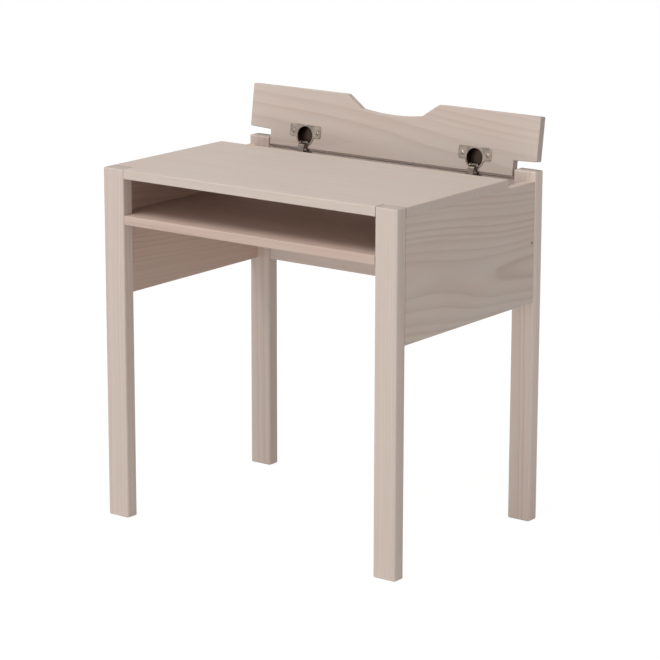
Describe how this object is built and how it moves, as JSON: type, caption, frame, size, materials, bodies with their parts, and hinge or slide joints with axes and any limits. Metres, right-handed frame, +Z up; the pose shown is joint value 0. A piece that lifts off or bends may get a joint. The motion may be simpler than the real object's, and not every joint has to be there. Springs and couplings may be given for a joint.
{
  "type": "kids desk",
  "caption": "Small child's writing desk of pale pine with an open book shelf under the top and a rear lid on concealed hinges.",
  "frame": {"origin": "on the floor, in the middle of the space the desk takes up with its rear flap open", "axes": "+X to the right of a child sitting at the desk, +Y to the back, +Z up"},
  "size_m": [0.6, 0.4218, 0.6946],
  "materials": {
    "back_panel": "matt whitewashed pine",
    "bracket_steel": "dark zinc plated",
    "dowel_wood": "plain unfinished",
    "flap": "matt whitewashed pine",
    "hinge_nickel": "nickel plated, satin",
    "leg_front_left": "matt whitewashed pine",
    "leg_front_right": "matt whitewashed pine",
    "leg_rear_left": "matt whitewashed pine",
    "leg_rear_right": "matt whitewashed pine",
    "screw_steel": "zinc plated",
    "shelf": "matt whitewashed pine",
    "side_panel_left": "matt whitewashed pine",
    "side_panel_right": "matt whitewashed pine",
    "tabletop": "matt whitewashed pine"
  },
  "bodies": {
    "frame": {"angle_brackets": "bracket_steel", "back_panel": "back_panel", "back_panel_dowels": "dowel_wood", "bracket_screws": "screw_steel", "hinge_arm_left": "hinge_nickel", "hinge_arm_pins_left": "hinge_nickel", "hinge_arm_pins_right": "hinge_nickel", "hinge_arm_right": "hinge_nickel", "hinge_arm_screws": "hinge_nickel", "hinge_plate_left": "hinge_nickel", "hinge_plate_right": "hinge_nickel", "hinge_plate_screws": "hinge_nickel", "leg_front_left": "leg_front_left", "leg_front_right": "leg_front_right", "leg_rear_left": "leg_rear_left", "leg_rear_right": "leg_rear_right", "shelf": "shelf", "shelf_dowels": "dowel_wood", "side_panel_dowels": "dowel_wood", "side_panel_left": "side_panel_left", "side_panel_right": "side_panel_right", "tabletop": "tabletop"},
    "outer_link_left": {"hinge_outer_link_left": "hinge_nickel"},
    "outer_link_right": {"hinge_outer_link_right": "hinge_nickel"},
    "inner_links_left": {"hinge_inner_links_left": "hinge_nickel"},
    "inner_links_right": {"hinge_inner_links_right": "hinge_nickel"},
    "flap": {"flap": "flap", "hinge_cup_left": "hinge_nickel", "hinge_cup_right": "hinge_nickel", "hinge_cup_pins_left": "hinge_nickel", "hinge_cup_pins_right": "hinge_nickel", "hinge_cup_screws": "hinge_nickel"}
  },
  "joints": [
    {"name": "flap_turn", "type": "hinge", "parent": "outer_link_left", "child": "flap", "pos_m": [-0.178, 0.18472, 0.60158], "axis": [1, 0, 0], "range_deg": [0, 119.5]},
    {"name": "outer_link_left_turn", "type": "hinge", "parent": "frame", "child": "outer_link_left", "pos_m": [-0.178, 0.16135, 0.55971], "axis": [-1, 0, 0], "range_deg": [0, 21.5]},
    {"name": "outer_link_right_turn", "type": "hinge", "parent": "frame", "child": "outer_link_right", "pos_m": [0.178, 0.16135, 0.55971], "axis": [-1, 0, 0], "range_deg": [0, 21.5]},
    {"name": "inner_links_left_turn", "type": "hinge", "parent": "frame", "child": "inner_links_left", "pos_m": [-0.178, 0.1826, 0.58944], "axis": [-1, 0, 0], "range_deg": [0, 48.5]},
    {"name": "inner_links_right_turn", "type": "hinge", "parent": "frame", "child": "inner_links_right", "pos_m": [0.178, 0.1826, 0.58944], "axis": [-1, 0, 0], "range_deg": [0, 48.5]}
  ],
  "couplings": [
    {"joint": "outer_link_left_turn", "follows": "flap_turn", "ratio": 0.17992},
    {"joint": "outer_link_right_turn", "follows": "flap_turn", "ratio": 0.17992},
    {"joint": "inner_links_left_turn", "follows": "flap_turn", "ratio": 0.40586},
    {"joint": "inner_links_right_turn", "follows": "flap_turn", "ratio": 0.40586}
  ]
}
